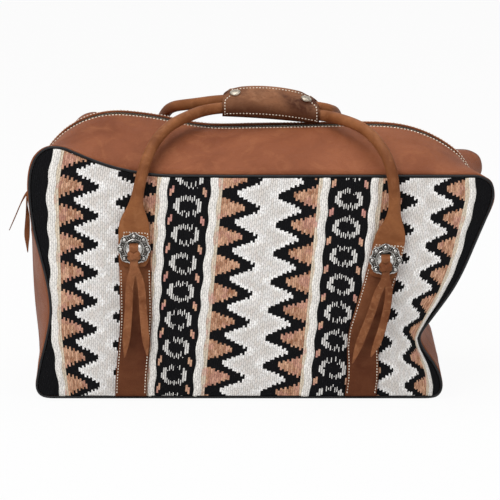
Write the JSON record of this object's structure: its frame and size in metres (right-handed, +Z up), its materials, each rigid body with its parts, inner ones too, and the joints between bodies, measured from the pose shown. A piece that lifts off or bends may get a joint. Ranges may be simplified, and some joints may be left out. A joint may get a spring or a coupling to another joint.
{
  "type": "overnight bag",
  "caption": "Woven wool and leather overnight bag with a curved top zip, rolled handles in a snapped grip wrap, straps, conchos and lace thongs.",
  "frame": {"origin": "middle of the flat underside of the base", "axes": "+X along the length to the right of the front face, -Y out of the front face, +Z up"},
  "size_m": [0.5616, 0.2754, 0.3411],
  "materials": {
    "woven_wool": "woven wool, matt, in cream, black and tan zigzags",
    "oiled_leather": "oiled brown leather",
    "strap_leather": "dark brown leather, stitched along both edges",
    "handle_leather": "brown leather, rolled and stitched",
    "thong_leather": "undyed edge leather lace",
    "black_piping": "black leather piping",
    "zip_tape": "black woven tape",
    "aged_brass": "aged brass",
    "aged_silver": "oxidised silver plate",
    "nickel": "nickel plate",
    "lining_cloth": "plain dark lining cloth",
    "base_board": "stiff fibre board"
  },
  "bodies": {
    "bag": {"base_panel": "oiled_leather", "left_end_panel": "oiled_leather", "right_end_panel": "oiled_leather", "front_panel": "woven_wool", "front_piping": "black_piping", "top_strip_front": "oiled_leather", "zip_tape_front": "zip_tape", "zip_teeth_front": "aged_brass", "handle_front": "handle_leather", "front_left_strap": "strap_leather", "front_left_concho": "aged_silver", "front_left_thong": "thong_leather", "front_right_strap": "strap_leather", "front_right_concho": "aged_silver", "front_right_thong": "thong_leather", "back_panel": "woven_wool", "back_piping": "black_piping", "top_strip_back": "oiled_leather", "zip_tape_back": "zip_tape", "zip_teeth_back": "aged_brass", "handle_back": "handle_leather", "back_left_strap": "strap_leather", "back_left_concho": "aged_silver", "back_left_thong": "thong_leather", "back_right_strap": "strap_leather", "back_right_concho": "aged_silver", "back_right_thong": "thong_leather", "grip_wrap": "handle_leather", "wrap_snap_1": "nickel", "wrap_snap_2": "nickel", "lining": "lining_cloth", "base_board": "base_board"},
    "slider": {"zip_slider": "aged_brass"},
    "pull": {"zip_pull": "aged_brass", "zip_thong": "thong_leather"}
  },
  "joints": [
    {"name": "zip_slider_travel", "type": "hinge", "parent": "bag", "child": "slider", "pos_m": [-0.14, 0, 0.215], "axis": [0, 1, 0], "range_deg": [0, 62]},
    {"name": "zip_pull_swing", "type": "hinge", "parent": "slider", "child": "pull", "pos_m": [-0.23794, 0, 0.24124], "axis": [0, 1, 0], "range_deg": [0, 110]}
  ]
}
